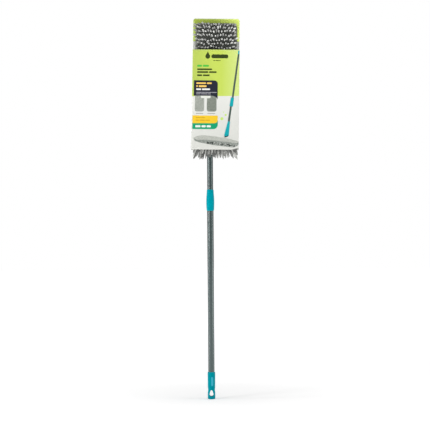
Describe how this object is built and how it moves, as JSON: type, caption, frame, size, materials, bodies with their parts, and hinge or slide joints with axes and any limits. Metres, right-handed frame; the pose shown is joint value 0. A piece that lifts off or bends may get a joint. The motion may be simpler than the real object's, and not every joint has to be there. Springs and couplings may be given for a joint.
{
  "type": "flat mop",
  "caption": "Telescopic flat mop with a twist collar, a two-way swivel joint and a double-sided pad, folded beside its pole in a printed card sleeve.",
  "frame": {"origin": "centre of the hang cap's end face, on the pole's axis", "axes": "+Z along the pole from the hang cap to the head, -Y towards the card's printed front, +X to the right seen from the front"},
  "size_m": [0.158, 0.0786, 1.291],
  "materials": {
    "turquoise_plastic": "satin moulded",
    "coated_steel": "semi-gloss metallic grey coating",
    "white_nylon": "natural nylon",
    "bright_steel": "zinc plated",
    "black_plastic": "moulded",
    "grey_plastic": "moulded",
    "grey_chenille": "fluffy chenille noodles",
    "grey_microfibre": "short looped pile",
    "grey_webbing": "woven tape",
    "printed_card": "printed, satin varnish"
  },
  "bodies": {
    "handle": {"hang_cap": "turquoise_plastic", "outer_tube": "coated_steel", "collet": "white_nylon"},
    "collar": {"lock_collar": "turquoise_plastic"},
    "guide": {"guide_ring": "white_nylon"},
    "extension": {"guide_plug": "white_nylon", "inner_tube": "coated_steel", "socket": "turquoise_plastic", "socket_screw": "bright_steel", "swing_pin": "bright_steel", "swing_clip": "bright_steel"},
    "knuckle": {"yoke": "black_plastic"},
    "head": {"tilt_pin": "bright_steel", "tilt_clip": "bright_steel", "swivel_bracket": "black_plastic", "bracket_screws": "bright_steel", "head_plate": "grey_plastic", "chenille_pad": "grey_chenille", "microfibre_pad": "grey_microfibre", "press_studs": "bright_steel", "edge_band": "grey_webbing"},
    "sleeve": {"card_front": "printed_card", "card_left_side": "printed_card", "card_right_side": "printed_card", "card_back_left": "printed_card", "card_back_right": "printed_card", "card_header": "printed_card", "card_header_flap": "printed_card"}
  },
  "joints": [
    {"name": "collar_twist", "type": "hinge", "parent": "handle", "child": "collar", "pos_m": [0, 0, 0.676], "axis": [0, 0, 1], "range_deg": [0, 90]},
    {"name": "telescope", "type": "slide", "parent": "handle", "child": "guide", "axis": [0, 0, 1], "range_m": [-0.195, 0.28]},
    {"name": "pole_turn", "type": "hinge", "parent": "guide", "child": "extension", "pos_m": [0, 0, 0.276], "axis": [0, 0, 1], "continuous": true},
    {"name": "head_swing", "type": "hinge", "parent": "extension", "child": "knuckle", "pos_m": [0, 0, 1.06], "axis": [0, -1, 0], "range_deg": [0, 180]},
    {"name": "head_tilt", "type": "hinge", "parent": "knuckle", "child": "head", "pos_m": [0.0215, 0, 1.06], "axis": [0, 0, 1], "range_deg": [0, 180]},
    {"name": "sleeve_slide", "type": "slide", "parent": "head", "child": "sleeve", "axis": [0, 0, 1], "range_m": [0, 0.45]}
  ]
}
